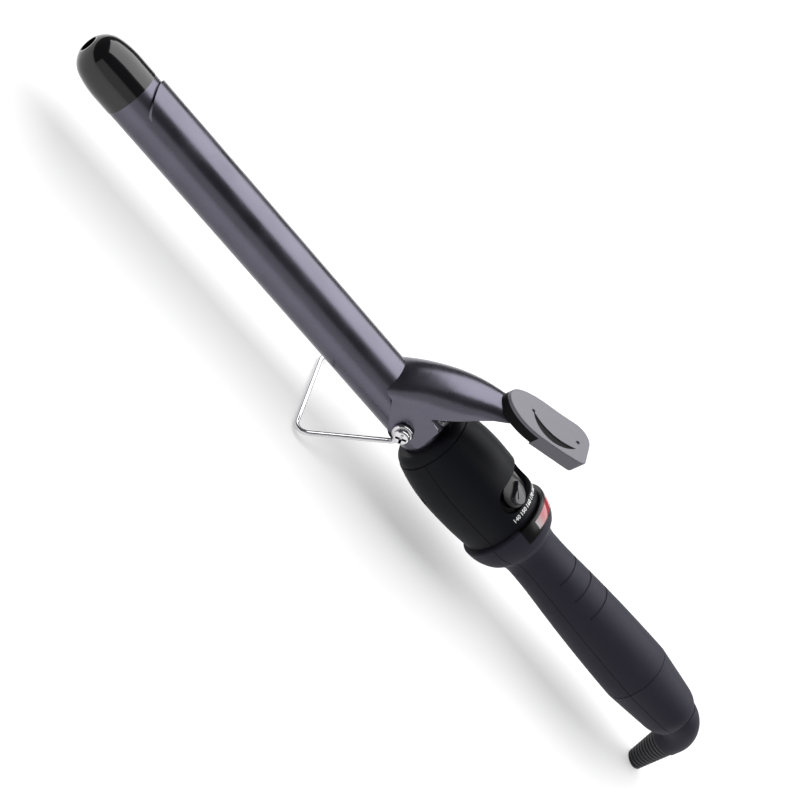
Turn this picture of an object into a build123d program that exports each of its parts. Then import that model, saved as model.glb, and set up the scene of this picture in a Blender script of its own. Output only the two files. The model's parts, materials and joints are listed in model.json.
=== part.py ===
from build123d import *
import math
import os

# A curling iron. The tool lies along X, tip towards -X and cord towards +X, with its lever on top (+Z).
# It stands on its wire stand and on the end of its strain relief. The origin is under the middle of it.
# Sizes are in millimetres, angles in degrees.

# Lengths along the tool, from the tip to the cord end
tip_cap_length = 23.6
barrel_length = 178.3
collar_length = 4.2
housing_length = 44.7
joint_gap = 1.0
grip_length = 93.1
end_cap_length = 29.3
swivel_length = 17.0

# Clearances
running_clearance = 0.05
seat_clearance = 0.05
moving_gap = 0.25
side_gap = 0.1
cut_overrun = 1.0

# Barrel and tip
barrel_radius = 11.0
barrel_wall = 0.9
barrel_tail = 12.0
tip_cap_radius = 11.25
tip_straight = 7.5
tip_shoulder_length = 6.2
tip_shoulder_radius = 9.9
tip_nose_radius = 4.2
tip_recess_radius = 3.5
tip_recess_depth = 5.0
tip_floor = 2.5
tip_spigot_length = 7.0
tip_wall = 2.2
tip_anchor_length = 6.0
tip_screw_radius = 1.4
tip_screw_head_radius = 2.5
tip_screw_head_height = 1.8
screw_slot_length = 3.2
screw_slot_width = 0.6

# Heater inside the barrel
heater_setback = 18.0
sensor_setback = 11.0
heater_plate_width = 14.0
heater_plate_thickness = 3.0
sensor_offset = 5.2
sensor_length = 12.0
thermistor_radius = 1.2
fuse_radius = 1.8

# Clamp: spoon, lever and ears from one sheet
clamp_setback = 2.9
clamp_sheet = 0.8
spoon_half_angle = 62.0
spoon_nose_depth = 8.5
lever_run = 18.7
lever_start_slope = 56.0
lever_end_slope = 13.8
lever_bend_radius = 68.0
lever_tongue_length = 19.0
lever_taper_length = 18.5
lever_tip_half_width = 8.0
lever_steps = 6
lever_flare = 0.15
lever_flare_drop = 9.0
lever_overrun = 2.0
tongue_steps = 3
ear_radius = 6.1
ear_rear = 9.8
ear_rear_height = -0.9
ear_top = (7.0, 12.4)
ear_notch = (0.2, 13.0)
lever_edge_low = (15.0, 32.0)
lever_edge_high = (21.5, 37.4)
lever_edge_depth = 3.2
lever_corner_radius = 2.5
ear_corner_radius = 1.5
notch_radius = 0.8

# Hinge
hinge_setback = 11.3
hinge_shoulder_seat = 0.8
hinge_shoulder_radius = 2.0
hinge_thread_radius = 1.5
hinge_thread_length = 3.6
hinge_head_radius = 3.4
hinge_head_height = 1.7
hinge_head_dome = 1.2
cross_recess_width = 1.1
cross_recess_length = 4.6
cross_recess_depth = 1.1
cross_recess_turn = 35.0
washer_radius = 3.5
washer_thickness = 0.4
hinge_block_front = 8.0
hinge_block_bore = 5.6

# Clamp spring
spring_offset = 6.5
spring_mean_radius = 3.5
spring_wire_radius = 0.6
spring_turns = 7
spring_seat_height = 8.6
spring_top_height = 27.4
spring_peg_radius = 2.3
spring_peg_height = 2.0
spring_window_half = 4.7
spring_window_corner = 3.7
spring_cup_radius = 4.4

# Thumb pad, placed from the hinge
pad_front = 11.5
pad_rear = 49.0
pad_front_rise = 4.3
pad_rear_rise = 4.7
pad_dish = 1.35
pad_half_width = 9.8
pad_wide_start = 29.5
pad_near_corner_radius = 2.5
pad_far_corner_radius = 8.0
pad_plate_thickness = 1.4
pad_block_front = 29.3
pad_block_front_depth = 6.3
pad_block_rear_depth = 7.0
pad_edge_radius = 0.5
pad_seat_clearance = 0.1
pad_base_depth = 4.0
pad_groove_depth = 0.9
pad_groove_front = (23.2, 0.7)
pad_groove_rear = (43.8, -3.7)
pad_groove_inner = (32.5, -3.9)
pad_groove_outer = (32.5, -7.9)
pad_inlay_drop = 0.4
pad_dimple = (43.9, 0.2)
pad_dimple_radius = 0.8
pad_screw_position = 36.0
pad_screw_radius = 1.2
pad_screw_length = 1.6
pad_screw_head_radius = 2.3
pad_screw_head_height = 1.2

# Wire stand
stand_wire_radius = 1.1
stand_forward = 28.0
stand_drop = 29.0
stand_half_width = 25.5
stand_corner_radius = 4.5
stand_hook_offset = 1.0
stand_hook_drop = 5.6
stand_hook_radius = 2.0

# Collar and control housing
collar_front_radius = 13.5
collar_middle_position = 1.7
collar_middle_radius = 15.4
collar_rear_radius = 16.1
housing_front_radius = 16.6
housing_crown_position = 20.0
housing_crown_radius = 19.35
housing_rear_radius = 17.7
housing_wall = 2.0
housing_front_wall = 2.6
housing_rib_thickness = 1.4
housing_rib_bore = 12.2
housing_screw_position = 15.5
housing_screw_spread = 12.0

# Parting line of the shells
seam_width = 0.24
seam_depth = 0.3

# Temperature control
slot_setback = 11.2
slot_half_width = 5.9
slot_straight_angle = 31.0
slider_rest_angle = 20.5
slider_half_size = 5.6
slider_corner_radius = 5.0
slider_top_radius = 18.0
dial_ring_outer = 15.9
dial_ring_inner = 14.5
dial_ring_half_length = 6.6
dial_end_gap = 0.3
dial_carrier_wall = 1.2
track_board_thickness = 1.0
track_board_radius = 15.4
wiper_half_angle = 12.0
wiper_thickness = 0.15
knob_top_radius = 19.5
knob_tip_reach = 5.0
knob_tail_reach = 4.5
knob_tail_radius = 2.7
knob_turn = 45.0
knob_edge_radius = 0.4
knob_slit_width = 0.5
knob_slit_depth = 0.5

# Grip
flange_radius = 19.5
flange_edge = 0.8
shoulder_position = 11.3
shoulder_radius = 16.2
slope_end_position = 14.6
slope_end_radius = 12.9
neck_position = 20.0
neck_radius = 11.7
palm_position = 36.3
palm_radius = 12.3
grip_end_radius = 14.75
grip_wall = 2.2
grip_front_wall = 2.0
grip_front_bore = 8.0
grip_spigot_length = 1.3
grip_spigot_wall = 2.0
groove_positions = (33.4, 43.1, 53.4)
groove_half_angle = 56.0
groove_width = 1.1
groove_depth = 0.4
grip_screw_positions = (31.0, 84.0)

# Indicator window on the head of the grip
window_length = 7.4
window_half_angle = 51.0
window_depth = 1.4
lens_front = 1.8
lens_length = 4.3
lens_half_angle = 29.0
lens_depth = 0.9
led_radius = 1.5
led_length = 4.0

# Circuit board in the grip
board_front = 37.0
board_length = 40.0
board_width = 16.0
board_thickness = 1.6
board_post_positions = (44.0, 70.0)
board_post_radius = 2.0
regulator_position = 12.0
regulator_size = (8.0, 9.0, 5.0)
capacitor_position = 22.0
capacitor_spread = 3.5
capacitor_radius = 2.5
capacitor_height = 5.5
driver_position = 30.0
driver_size = (5.0, 5.0, 1.5)
lead_radius = 0.9
lead_spread = 4.2
lead_overlap = 6.0

# End cap
end_cap_gap = 0.3
end_cap_front_radius = 14.75
end_cap_middle_position = 10.2
end_cap_middle_radius = 13.7
end_cap_shoulder_position = 22.7
end_cap_shoulder_radius = 12.3
end_cap_rear_radius = 10.0
end_cap_wall = 2.0
end_cap_rear_wall = 3.0
end_cap_tongue_length = 3.0
end_cap_tongue_wall = 1.2
brush_rib_position = 4.2
brush_rib_thickness = 1.4
brush_rib_bore = 9.0
brush_board_thickness = 1.6

# Swivel outlet
swivel_gap = 0.3
elbow_outer_radius = 19.3
elbow_radius = 9.4
elbow_end_radius = 7.6
elbow_drop = 9.0
elbow_turn = 78.0
elbow_boss_radius = 7.0
elbow_boss_length = 5.0
swivel_shaft_radius = 5.0
swivel_shaft_bore = 3.2
swivel_shaft_length = 16.5
swivel_flange_radius = 7.2
swivel_flange_length = 2.5
slip_ring_radius = 5.8
slip_ring_length = 3.0
slip_ring_positions = (1.5, 6.0)
brush_gap = 0.3
brush_thickness = 0.5
brush_width = 3.0

# Strain relief
relief_root_radius = 6.5
relief_tip_radius = 3.9
relief_rib_pitch = 1.8
relief_rib_share = 0.6
relief_groove_depth = 0.8
relief_plug_radius = 4.6
relief_plug_length = 5.0
cord_bore_radius = 3.0

# Small screws that hold the shells
shell_screw_radius = 1.3
shell_screw_head_radius = 2.4
shell_screw_head_height = 1.6
shell_screw_seat = 6.0
shell_screw_reach = 6.0
shell_boss_radius = 3.0
shell_boss_clearance = 0.15

# Stations along X
overall_length = (tip_cap_length + barrel_length + collar_length + housing_length + joint_gap
                  + grip_length + end_cap_length + swivel_length)
x_tip = -overall_length / 2
x_barrel = x_tip + tip_cap_length
x_collar = x_barrel + barrel_length
x_housing = x_collar + collar_length
x_housing_end = x_housing + housing_length
x_grip = x_housing_end + joint_gap
x_grip_end = x_grip + grip_length
x_end_cap = x_grip_end + end_cap_gap
x_end_cap_end = x_grip_end + end_cap_length
x_end = x_end_cap_end + swivel_length
x_hinge = x_collar - hinge_setback
x_crease = x_hinge - lever_run
x_clamp = x_barrel + clamp_setback
x_spring = x_hinge + spring_offset
x_heater = x_barrel + heater_setback
x_heater_end = x_hinge - hinge_block_front - sensor_setback - sensor_length
heater_length = x_heater_end - x_heater
x_slot = x_housing_end - slot_setback
x_bend = x_end - elbow_outer_radius

# Values that follow from the driving dimensions
axis_height = stand_drop + stand_wire_radius
tool_axis = Axis((0, 0, axis_height), (1, 0, 0))
barrel_bore = barrel_radius - barrel_wall
clamp_inner_radius = barrel_radius + moving_gap
clamp_outer_radius = clamp_inner_radius + clamp_sheet
spoon_edge_height = clamp_outer_radius * math.cos(math.radians(spoon_half_angle))
spoon_half_width = clamp_outer_radius * math.sin(math.radians(spoon_half_angle))
eye_radius = hinge_shoulder_radius + running_clearance + stand_wire_radius
ear_outer = clamp_outer_radius + lever_flare
eye_offset = ear_outer + side_gap + stand_wire_radius
washer_offset = eye_offset + stand_wire_radius + side_gap
hinge_head_offset = washer_offset + washer_thickness
hinge_shoulder_offset = barrel_bore - hinge_shoulder_seat


def side_plane(y=0.0):
    """Plane along the tool that faces -Y: local x runs along the tool and local y up from its axis."""
    return Plane(origin=(0, y, axis_height), x_dir=(1, 0, 0), z_dir=(0, -1, 0))


def cross_plane(x):
    """Plane across the tool that faces +X: local x is Y and local y is the height over the axis."""
    return Plane(origin=(x, 0, axis_height), x_dir=(0, 1, 0), z_dir=(1, 0, 0))


def meridian_plane(angle):
    """Plane through the tool axis, turned from the top towards -Y: local y is the radius."""
    turn = math.radians(angle)
    return Plane(origin=(0, 0, axis_height), x_dir=(1, 0, 0), z_dir=(0, -math.cos(turn), -math.sin(turn)))


def radial_plane(x, angle, radius):
    """Plane that faces outwards at this station, angle and radius: local x runs along the tool."""
    turn = math.radians(angle)
    outwards = Vector(0, -math.sin(turn), math.cos(turn))
    origin = Vector(x, 0, axis_height) + outwards * radius
    return Plane(origin=origin, x_dir=(1, 0, 0), z_dir=outwards)


def post_plane(x, y, height):
    """Plane that faces up at this height over the tool axis."""
    return Plane(origin=(x, y, axis_height + height), x_dir=(1, 0, 0), z_dir=(0, 0, 1))


def save(piece, name):
    """Label a finished piece and write it to its own file."""
    piece.part.label = name
    export_step(piece.part, f"parts/{name}.step")


os.makedirs("parts", exist_ok=True)

# Barrel: aluminium tube with holes for the hinge screws and a window for the spring
with BuildPart() as barrel:
    with BuildSketch(cross_plane(x_barrel)):
        Circle(barrel_radius)
        Circle(barrel_bore, mode=Mode.SUBTRACT)
    extrude(amount=barrel_length + barrel_tail)
    with BuildSketch(side_plane()):
        with Locations((x_hinge, 0)):
            Circle(hinge_shoulder_radius + running_clearance)
    extrude(amount=barrel_radius + cut_overrun, both=True, mode=Mode.SUBTRACT)
    with BuildSketch(post_plane(x_spring, 0, 0)):
        RectangleRounded(2 * spring_window_half, 2 * spring_window_half, spring_window_corner)
    extrude(amount=barrel_radius + cut_overrun, mode=Mode.SUBTRACT)
save(barrel, "barrel")

# Tip cap: hollow nose with a screw recess at its end and a spigot in the barrel
with BuildPart() as tip_cap:
    with BuildSketch(side_plane()):
        with BuildLine():
            shoulder_point = (x_tip + tip_shoulder_length, tip_shoulder_radius)
            straight_end = (x_barrel - tip_straight, tip_cap_radius)
            flank = TangentArc(straight_end, shoulder_point, tangent=(-1, 0))
            nose = TangentArc(shoulder_point, (x_tip, tip_nose_radius), tangent=flank % 1)
            Polyline(nose @ 1, (x_tip, 0), (x_barrel, 0), (x_barrel, tip_cap_radius), straight_end)
        make_face()
    revolve(axis=tool_axis)
    with BuildSketch(cross_plane(x_barrel)):
        Circle(barrel_bore - seat_clearance)
    extrude(amount=tip_spigot_length)
    with BuildSketch(cross_plane(x_tip)):
        Circle(tip_recess_radius)
    extrude(amount=tip_recess_depth, mode=Mode.SUBTRACT)
    with BuildSketch(cross_plane(x_tip + tip_recess_depth + tip_floor)):
        Circle(barrel_bore - tip_wall)
    extrude(amount=tip_cap_length + tip_spigot_length, mode=Mode.SUBTRACT)
    with BuildSketch(cross_plane(x_tip)):
        Circle(tip_screw_radius + seat_clearance)
    extrude(amount=tip_cap_length, mode=Mode.SUBTRACT)
save(tip_cap, "tip_cap")

# Tip anchor: disc in the barrel that the tip screw pulls on
x_anchor = x_barrel + tip_spigot_length
with BuildPart() as tip_anchor:
    with BuildSketch(cross_plane(x_anchor)):
        Circle(barrel_bore - seat_clearance)
        Circle(tip_screw_radius, mode=Mode.SUBTRACT)
    extrude(amount=tip_anchor_length)
save(tip_anchor, "tip_anchor")

x_tip_screw = x_tip + tip_recess_depth - tip_screw_head_height
with BuildPart() as tip_screw:
    with BuildSketch(cross_plane(x_tip_screw)):
        Circle(tip_screw_head_radius)
    extrude(amount=tip_screw_head_height)
    with BuildSketch(cross_plane(x_tip + tip_recess_depth)):
        Circle(tip_screw_radius)
    extrude(amount=x_anchor + tip_anchor_length - x_tip - tip_recess_depth)
    with BuildSketch(cross_plane(x_tip_screw)):
        Rectangle(screw_slot_length, screw_slot_width)
        Rectangle(screw_slot_width, screw_slot_length)
    extrude(amount=tip_screw_head_height / 2, mode=Mode.SUBTRACT)
save(tip_screw, "tip_screw")

# Heater: a ceramic strip between two half-round bars
with BuildPart() as heater_plate:
    with BuildSketch(cross_plane(x_heater)):
        Rectangle(heater_plate_width, heater_plate_thickness)
    extrude(amount=heater_length)
save(heater_plate, "heater_plate")

with BuildPart() as heat_spreaders:
    with BuildSketch(cross_plane(x_heater)):
        Circle(barrel_bore - seat_clearance)
        Rectangle(2 * barrel_radius, heater_plate_thickness, mode=Mode.SUBTRACT)
    extrude(amount=heater_length)
save(heat_spreaders, "heat_spreaders")

with BuildPart() as thermistor:
    with BuildSketch(cross_plane(x_heater_end)):
        with Locations((0, sensor_offset)):
            Circle(thermistor_radius)
    extrude(amount=sensor_length)
save(thermistor, "thermistor")

with BuildPart() as thermal_fuse:
    with BuildSketch(cross_plane(x_heater_end)):
        with Locations((0, -sensor_offset)):
            Circle(fuse_radius)
    extrude(amount=sensor_length)
save(thermal_fuse, "thermal_fuse")

# Hinge block: carries the hinge screws and the seat of the spring, inside the barrel
with BuildPart() as hinge_block:
    with BuildSketch(cross_plane(x_hinge - hinge_block_front)):
        Circle(barrel_bore - seat_clearance)
        Circle(hinge_block_bore, mode=Mode.SUBTRACT)
    extrude(amount=hinge_block_front + hinge_setback)
    with BuildSketch(post_plane(x_spring, 0, spring_seat_height)):
        Rectangle(2 * spring_window_half, 2 * barrel_radius)
    extrude(amount=barrel_radius, mode=Mode.SUBTRACT)
    with BuildSketch(post_plane(x_spring, 0, spring_seat_height)):
        Circle(spring_peg_radius)
    extrude(amount=spring_peg_height)
    with BuildSketch(side_plane()):
        with Locations((x_hinge, 0)):
            Circle(hinge_thread_radius)
    extrude(amount=barrel_radius, both=True, mode=Mode.SUBTRACT)
    for side in (-1, 1):
        shoulder_end = Plane(origin=(x_hinge, side * hinge_shoulder_offset, axis_height), z_dir=(0, side, 0))
        with BuildSketch(shoulder_end):
            Circle(hinge_shoulder_radius + running_clearance)
        extrude(amount=barrel_radius, mode=Mode.SUBTRACT)
save(hinge_block, "hinge_block")

# Hinge screws: a threaded end, a plain shoulder and a domed cross head, one from each side
with BuildPart() as hinge_screws:
    for side in (-1, 1):
        thread_place = side * (hinge_shoulder_offset - hinge_thread_length)
        thread_end = Plane(origin=(x_hinge, thread_place, axis_height), z_dir=(0, side, 0))
        with BuildSketch(thread_end):
            Circle(hinge_thread_radius)
        extrude(amount=hinge_thread_length)
        with BuildSketch(thread_end.offset(hinge_thread_length)):
            Circle(hinge_shoulder_radius)
        extrude(amount=hinge_head_offset - hinge_shoulder_offset)
        head_plane = Plane(origin=(x_hinge, side * hinge_head_offset, axis_height), z_dir=(0, side, 0))
        with BuildSketch(head_plane):
            Circle(hinge_head_radius)
        extrude(amount=hinge_head_height)
    fillet(hinge_screws.faces().sort_by(Axis.Y)[0].edges(), hinge_head_dome)
    fillet(hinge_screws.faces().sort_by(Axis.Y)[-1].edges(), hinge_head_dome)
    for side in (-1, 1):
        head_top = Plane(origin=(x_hinge, side * (hinge_head_offset + hinge_head_height), axis_height),
                         z_dir=(0, side, 0))
        with BuildSketch(head_top):
            Rectangle(cross_recess_length, cross_recess_width, rotation=cross_recess_turn)
            Rectangle(cross_recess_width, cross_recess_length, rotation=cross_recess_turn)
        extrude(amount=-cross_recess_depth, mode=Mode.SUBTRACT)
save(hinge_screws, "hinge_screws")

with BuildPart() as hinge_washers:
    for side in (-1, 1):
        with BuildSketch(Plane(origin=(x_hinge, side * washer_offset, axis_height), z_dir=(0, side, 0))):
            Circle(washer_radius)
            Circle(hinge_shoulder_radius + running_clearance, mode=Mode.SUBTRACT)
        extrude(amount=washer_thickness)
save(hinge_washers, "hinge_washers")


# Clamp
def lever_point(slope, inset):
    """Point of the lever's crown where it climbs at this slope, moved inwards by inset."""
    start = math.radians(lever_start_slope)
    here = math.radians(slope)
    x = x_crease + lever_bend_radius * (math.sin(start) - math.sin(here)) + inset * math.sin(here)
    z = clamp_outer_radius + lever_bend_radius * (math.cos(here) - math.cos(start)) - inset * math.cos(here)
    return x, z


def lever_crown(x):
    """Height of the lever's crown at this station of its bend."""
    climb = math.sin(math.radians(lever_start_slope)) - (x - x_crease) / lever_bend_radius
    return lever_point(math.degrees(math.asin(climb)), 0)[1]


def lever_half_width(x):
    """Half width of the lever, full at the hinge and drawn in towards the pad."""
    share = min(max((x - x_hinge) / lever_taper_length, 0), 1)
    blend = share * share * (3 - 2 * share)
    return clamp_outer_radius + (lever_tip_half_width - clamp_outer_radius) * blend


def lever_solid(inset, overrun, depth):
    """Solid under the lever's arched crown, with sides that flare out to the ears, up to the tongue's end."""
    stations = []
    for step in range(lever_steps + 1):
        slope = lever_start_slope + (lever_end_slope - lever_start_slope) * step / lever_steps
        stations.append(lever_point(slope, inset))
    end_turn = math.radians(lever_end_slope)
    x_last, z_last = stations[-1]
    for step in range(1, tongue_steps + 1):
        reach = (lever_tongue_length + overrun) * step / tongue_steps
        stations.append((x_last + reach * math.cos(end_turn), z_last + reach * math.sin(end_turn)))
    with BuildPart() as solid:
        for x, crown in stations:
            half = lever_half_width(x) - inset
            flare = ear_outer - inset
            arch_end = crown - half
            flare_end = arch_end - lever_flare_drop
            with BuildSketch(cross_plane(x)):
                with BuildLine():
                    ThreePointArc((-half, arch_end), (0, crown), (half, arch_end))
                    Polyline((half, arch_end), (flare, flare_end), (flare, -depth), (-flare, -depth),
                             (-flare, flare_end), (-half, arch_end))
                make_face()
        loft()
    return solid.part


lever_depth = lever_flare_drop + ear_radius
lever_body = lever_solid(0, 0, lever_depth)
lever_hollow = lever_solid(clamp_sheet, 2 * lever_overrun, lever_depth + lever_overrun)
x_tongue, tongue_height = lever_point(lever_end_slope, 0)
tongue_turn = math.radians(lever_end_slope)
x_tongue_end = x_tongue + lever_tongue_length * math.cos(tongue_turn)
tongue_end_height = tongue_height + lever_tongue_length * math.sin(tongue_turn)

# Spoon: a strip of tube over the barrel with a rounded nose
with BuildPart() as spoon:
    with BuildSketch(cross_plane(x_crease)):
        Circle(clamp_outer_radius)
        Circle(clamp_inner_radius, mode=Mode.SUBTRACT)
        wedge = 3 * barrel_radius
        wedge_height = wedge / math.tan(math.radians(spoon_half_angle))
        Polygon((0, 0), (wedge, wedge_height), (wedge, wedge), (-wedge, wedge), (-wedge, wedge_height),
                align=None, mode=Mode.INTERSECT)
    extrude(amount=x_clamp - x_crease)
    with BuildSketch(Plane.XY):
        with Locations((x_clamp + spoon_nose_depth, 0)):
            Ellipse(spoon_nose_depth, spoon_half_width + side_gap)
        with Locations((x_crease, 0)):
            Rectangle(x_crease - x_clamp - spoon_nose_depth, 2 * spoon_half_width + 2 * side_gap,
                      align=(Align.MAX, Align.CENTER))
    extrude(amount=axis_height + 2 * barrel_radius, mode=Mode.INTERSECT)

with BuildPart() as clamp:
    add(lever_body)
    add(lever_hollow, mode=Mode.SUBTRACT)
    with BuildSketch(side_plane()):
        with BuildLine():
            ear_side = ear_radius / math.sqrt(2)
            ear_front = (x_hinge - ear_radius * math.sqrt(2) - spoon_edge_height, spoon_edge_height)
            ear_low = (x_hinge - ear_side, -ear_side)
            ear_back = (x_hinge + math.sqrt(ear_radius ** 2 - ear_rear_height ** 2), ear_rear_height)
            tongue_low = (x_tongue_end + lever_overrun, tongue_end_height - lever_edge_depth)
            above = tongue_end_height + lever_overrun
            ThreePointArc(ear_low, (x_hinge, -ear_radius), ear_back)
            FilletPolyline(ear_back, (x_hinge + ear_rear, ear_rear_height),
                           (x_hinge + ear_top[0], ear_top[1]),
                           (x_hinge + ear_notch[0], ear_notch[1]),
                           (x_hinge + lever_edge_low[0], lever_edge_low[1]),
                           (x_hinge + lever_edge_high[0], lever_edge_high[1]), tongue_low,
                           radius=[ear_corner_radius, ear_corner_radius, notch_radius, lever_corner_radius,
                                   lever_corner_radius])
            Polyline(tongue_low, (x_tongue_end + lever_overrun, above), (x_crease, above),
                     (x_crease, spoon_edge_height), ear_front, ear_low)
        make_face()
    extrude(amount=2 * barrel_radius, both=True, mode=Mode.INTERSECT)
    with BuildSketch(cross_plane(x_crease - lever_overrun)):
        Circle(clamp_inner_radius)
    extrude(amount=2 * lever_overrun, mode=Mode.SUBTRACT)
    with BuildSketch(side_plane()):
        with Locations((x_hinge, 0)):
            Circle(hinge_shoulder_radius + running_clearance)
    extrude(amount=2 * barrel_radius, both=True, mode=Mode.SUBTRACT)
    add(spoon.part)
    pad_screw_reach = (x_hinge + pad_screw_position - x_tongue) / math.cos(tongue_turn)
    pad_screw_height = tongue_height + pad_screw_reach * math.sin(tongue_turn)
    pad_screw_plane = Plane(origin=(x_hinge + pad_screw_position, 0, axis_height + pad_screw_height),
                            x_dir=(math.cos(tongue_turn), 0, math.sin(tongue_turn)),
                            z_dir=(-math.sin(tongue_turn), 0, math.cos(tongue_turn)))
    with BuildSketch(pad_screw_plane):
        Circle(pad_screw_radius + seat_clearance)
    extrude(amount=2 * clamp_sheet, both=True, mode=Mode.SUBTRACT)
save(clamp, "clamp")

# Spring cup: seat under the lever for the top of the spring
cup_hollow = lever_solid(clamp_sheet + seat_clearance, lever_overrun, lever_depth)
with BuildPart() as spring_cup:
    with BuildSketch(post_plane(x_spring, 0, spring_top_height)):
        Circle(spring_cup_radius)
    extrude(amount=lever_bend_radius)
    add(cup_hollow, mode=Mode.INTERSECT)
    with BuildSketch(post_plane(x_spring, 0, spring_top_height)):
        Circle(spring_peg_radius)
    extrude(amount=-spring_peg_height)
save(spring_cup, "spring_cup")


# Clamp spring: one wire wound in half turns, each drawn as two arcs that share a tangent
def helix_point(turn, base, pitch):
    """Point of the spring's wire after this many turns."""
    angle = 2 * math.pi * turn
    return Vector(x_spring + spring_mean_radius * math.cos(angle), spring_mean_radius * math.sin(angle),
                  base + pitch * turn)


def helix_tangent(turn, pitch):
    """Way the spring's wire runs after this many turns."""
    angle = 2 * math.pi * turn
    round_trip = 2 * math.pi * spring_mean_radius
    return Vector(-round_trip * math.sin(angle), round_trip * math.cos(angle), pitch).normalized()


def biarc_joint(start, start_tangent, end, end_tangent):
    """Point where two arcs of equal reach meet between two points with these tangents."""
    chord = end - start
    total = start_tangent + end_tangent
    spread = 4 - total.dot(total)
    along = chord.dot(total)
    reach = (-along + math.sqrt(along * along + spread * chord.dot(chord))) / spread
    return (start + start_tangent * reach + end - end_tangent * reach) * 0.5


spring_base = axis_height + spring_seat_height + spring_wire_radius
spring_pitch = (spring_top_height - spring_seat_height - 2 * spring_wire_radius) / spring_turns
half_turns = 2 * spring_turns
with BuildPart() as clamp_spring:
    with BuildLine() as spring_line:
        for half_turn in range(half_turns):
            first = helix_point(half_turn / 2, spring_base, spring_pitch)
            last = helix_point((half_turn + 1) / 2, spring_base, spring_pitch)
            first_tangent = helix_tangent(half_turn / 2, spring_pitch)
            last_tangent = helix_tangent((half_turn + 1) / 2, spring_pitch)
            middle = biarc_joint(first, first_tangent, last, last_tangent)
            near_arc = TangentArc(first, middle, tangent=first_tangent)
            TangentArc(middle, last, tangent=near_arc % 1)
    spring_start = Plane(origin=helix_point(0, spring_base, spring_pitch),
                         z_dir=helix_tangent(0, spring_pitch))
    with BuildSketch(spring_start):
        Circle(spring_wire_radius)
    sweep(path=spring_line.line)
save(clamp_spring, "clamp_spring")

# Least gap between the turns of the spring, measured on points along its wire
samples_per_turn = 36
spring_points = [helix_point(step / samples_per_turn, spring_base, spring_pitch)
                 for step in range(spring_turns * samples_per_turn + 1)]
least_gap = min((spring_points[far] - spring_points[near]).length
                for near in range(len(spring_points))
                for far in range(near + samples_per_turn // 2, len(spring_points))) - 2 * spring_wire_radius
print(f"clamp spring: least gap between turns {least_gap:.2f} mm")


# Thumb pad: a dished plate over the lever with a block behind it
pad_front_height = lever_crown(x_hinge + pad_front) + pad_front_rise
tongue_under_rear = tongue_height + (x_hinge + pad_rear - x_tongue) * math.tan(tongue_turn)
pad_rear_height = tongue_under_rear + pad_rear_rise


def pad_height(x, drop):
    """Height of the pad's dished top at this station, lowered by drop."""
    share = (x - x_hinge - pad_front) / (pad_rear - pad_front)
    level = pad_front_height + (pad_rear_height - pad_front_height) * share
    return level - 4 * pad_dish * share * (1 - share) - drop


def pad_band(drop, floor):
    """Band across the pad between two depths under its dished top, from its front to its block."""
    front = x_hinge + pad_front
    rear = x_hinge + pad_block_front
    middle = (front + rear) / 2
    with BuildPart() as band:
        with BuildSketch(side_plane()):
            with BuildLine():
                ThreePointArc((front, pad_height(front, drop)), (middle, pad_height(middle, drop)),
                              (rear, pad_height(rear, drop)))
                ThreePointArc((front, pad_height(front, floor)), (middle, pad_height(middle, floor)),
                              (rear, pad_height(rear, floor)))
                Line((front, pad_height(front, drop)), (front, pad_height(front, floor)))
                Line((rear, pad_height(rear, drop)), (rear, pad_height(rear, floor)))
            make_face()
        extrude(amount=2 * pad_half_width, both=True)
    return band.part


def pad_side_solid(drop):
    """Side view of the pad pulled across it, with its top lowered by drop."""
    front = x_hinge + pad_front
    block = x_hinge + pad_block_front
    rear = x_hinge + pad_rear
    middle = (front + rear) / 2
    under = (front + block) / 2
    with BuildPart() as solid:
        with BuildSketch(side_plane()):
            with BuildLine():
                ThreePointArc((front, pad_height(front, drop)), (middle, pad_height(middle, drop)),
                              (rear, pad_height(rear, drop)))
                Polyline((rear, pad_height(rear, drop)), (rear, pad_height(rear, pad_block_rear_depth)),
                         (block, pad_height(block, pad_block_front_depth)),
                         (block, pad_height(block, pad_plate_thickness)))
                ThreePointArc((block, pad_height(block, pad_plate_thickness)),
                              (under, pad_height(under, pad_plate_thickness)),
                              (front, pad_height(front, pad_plate_thickness)))
                Line((front, pad_height(front, pad_plate_thickness)), (front, pad_height(front, drop)))
            make_face()
        extrude(amount=2 * pad_half_width, both=True)
    return solid.part


pad_seat = lever_solid(-pad_seat_clearance, lever_overrun, lever_depth)
pad_side = pad_side_solid(0)
pad_groove_floor = pad_side_solid(pad_groove_depth)
base_top = pad_plate_thickness + pad_seat_clearance
base_band = pad_band(base_top, base_top + pad_base_depth)



def crescent(inset):
    """Plan of the pad's groove, drawn this far inside its edges and three times as far inside its points."""
    front = (x_hinge + pad_groove_front[0] + 3 * inset, pad_groove_front[1] - 3 * inset)
    rear = (x_hinge + pad_groove_rear[0] - 3 * inset, pad_groove_rear[1] - 2 * inset)
    with BuildSketch(Plane.XY) as plan:
        with BuildLine():
            ThreePointArc(front, (x_hinge + pad_groove_inner[0], pad_groove_inner[1] - inset), rear)
            ThreePointArc(front, (x_hinge + pad_groove_outer[0], pad_groove_outer[1] + inset), rear)
        make_face()
    return plan.sketch


groove_plan = crescent(0)
inlay_plan = crescent(pad_seat_clearance)
inlay_top = pad_side_solid(pad_inlay_drop)
inlay_floor = pad_side_solid(pad_groove_depth - pad_seat_clearance)
with BuildPart() as pad_groove:
    add(groove_plan)
    with BuildSketch(Plane.XY):
        with Locations((x_hinge + pad_groove_front[0], pad_groove_front[1]),
                       (x_hinge + pad_dimple[0], pad_dimple[1])):
            Circle(pad_dimple_radius)
    extrude(amount=axis_height + 2 * pad_rear_height)
    add(pad_groove_floor, mode=Mode.SUBTRACT)

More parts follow.
